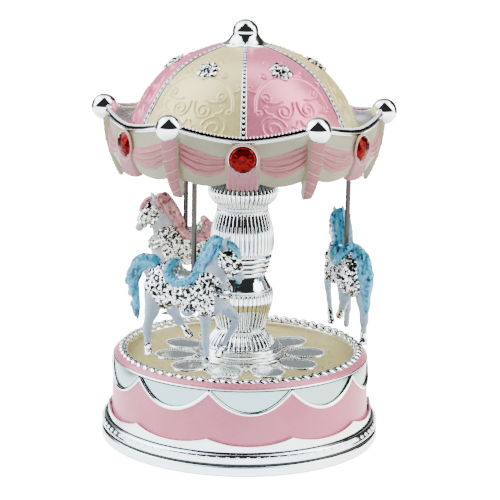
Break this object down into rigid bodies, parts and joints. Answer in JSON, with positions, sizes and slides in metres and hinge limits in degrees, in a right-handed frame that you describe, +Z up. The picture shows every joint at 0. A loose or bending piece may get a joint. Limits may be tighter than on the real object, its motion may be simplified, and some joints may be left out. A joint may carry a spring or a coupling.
{
  "type": "carousel music box",
  "caption": "Wind-up carousel music box: round swagged drum, fluted column, domed canopy on a drive shaft and horses sliding on steel rods.",
  "frame": {"origin": "bottom centre of the plinth, on the surface it stands on", "axes": "+Z up along the drive shaft, -Y towards the front jewel, X across"},
  "size_m": [0.1128, 0.105, 0.1577],
  "materials": {
    "chrome_plate": "mirror-bright chrome plating on moulded plastic",
    "drum_pink": "pearl pink lacquer on plastic",
    "deck_cream": "satin cream lacquer",
    "pearl_pink": "pearl pink lacquer, satin",
    "pearl_cream": "pearl cream lacquer, satin",
    "gutter_satin": "satin silver plating",
    "ruby_red": "faceted red stone with foil back",
    "canopy_board": "moulded plastic, unpainted underside",
    "base_plastic": "moulded plastic",
    "screw_steel": "bright zinc plated steel",
    "movement_zinc": "cast zinc alloy, satin",
    "comb_steel": "ground spring steel",
    "movement_brass": "turned brass",
    "gear_plastic": "acetal",
    "shaft_steel": "ground steel",
    "rod_steel": "bright drawn steel rod",
    "key_metal": "nickel plated",
    "horse_pearl_blue": "pearl lacquer with chrome harness and sky blue mane, tail and saddle",
    "horse_pearl_pink": "pearl lacquer with chrome harness and salmon pink mane, tail and saddle"
  },
  "bodies": {
    "base": {"plinth": "chrome_plate", "drum_shell": "drum_pink", "base_plate": "base_plastic", "base_screws": "screw_steel", "bedplate_screws": "screw_steel", "deck": "deck_cream", "deck_rim": "chrome_plate", "deck_petals": "chrome_plate", "deck_rosettes": "chrome_plate", "deck_bearing": "movement_brass", "bedplate": "movement_zinc", "comb": "comb_steel", "comb_screws": "screw_steel", "column_foot": "chrome_plate", "lower_urn": "chrome_plate", "middle_spindle": "chrome_plate", "upper_urn": "chrome_plate", "column_capital": "chrome_plate", "top_bearing": "movement_brass"},
    "carousel": {"spring_barrel": "movement_brass", "mainspring": "comb_steel", "crown_wheel": "gear_plastic", "drive_shaft": "shaft_steel", "shaft_hub": "gear_plastic", "canopy_floor": "canopy_board", "canopy_screws": "screw_steel", "guide_bushes": "movement_brass", "canopy_skirt": "pearl_cream", "skirt_tails": "pearl_pink", "skirt_drapes": "pearl_pink", "jewels": "ruby_red", "jewel_bezels": "chrome_plate", "gutter_ring": "gutter_satin", "rim_moulding": "chrome_plate", "rim_balls": "chrome_plate", "dome_cap": "pearl_cream", "dome_panels_pink": "pearl_pink", "dome_panels_cream": "pearl_cream", "dome_ribs": "chrome_plate", "dome_emblems": "chrome_plate", "finial": "chrome_plate"},
    "key": {"winding_key": "key_metal", "winding_arbor": "shaft_steel"},
    "cylinder": {"music_cylinder": "movement_brass", "cylinder_axle": "shaft_steel", "cylinder_pinion": "gear_plastic", "governor_gear": "movement_brass"},
    "governor": {"governor_arbor": "shaft_steel", "governor_pinion": "movement_brass", "governor_fly": "gear_plastic"},
    "rider_1": {"horse_1": "horse_pearl_blue", "rod_1": "rod_steel", "rod_collar_1": "shaft_steel"},
    "rider_2": {"horse_2": "horse_pearl_blue", "rod_2": "rod_steel", "rod_collar_2": "shaft_steel"},
    "rider_3": {"horse_3": "horse_pearl_pink", "rod_3": "rod_steel", "rod_collar_3": "shaft_steel"}
  },
  "joints": [
    {"name": "canopy_spin", "type": "hinge", "parent": "base", "child": "carousel", "pos_m": [0, 0, 0.1], "axis": [0, 0, 1], "continuous": true},
    {"name": "key_turn", "type": "hinge", "parent": "base", "child": "key", "pos_m": [0, 0, 0.005], "axis": [0, 0, 1], "continuous": true},
    {"name": "cylinder_spin", "type": "hinge", "parent": "base", "child": "cylinder", "pos_m": [0.03, 0, 0.01815], "axis": [1, 0, 0], "continuous": true},
    {"name": "governor_spin", "type": "hinge", "parent": "base", "child": "governor", "pos_m": [0.03, 0.00965, 0.01815], "axis": [1, 0, 0], "continuous": true},
    {"name": "horse_1_bob", "type": "slide", "parent": "carousel", "child": "rider_1", "axis": [0, 0, 1], "range_m": [0, 0.004]},
    {"name": "horse_2_bob", "type": "slide", "parent": "carousel", "child": "rider_2", "axis": [0, 0, 1], "range_m": [0, 0.004]},
    {"name": "horse_3_bob", "type": "slide", "parent": "carousel", "child": "rider_3", "axis": [0, 0, 1], "range_m": [0, 0.004]}
  ],
  "couplings": [
    {"joint": "cylinder_spin", "follows": "canopy_spin", "ratio": -3.3333},
    {"joint": "governor_spin", "follows": "canopy_spin", "ratio": 9.3333}
  ]
}
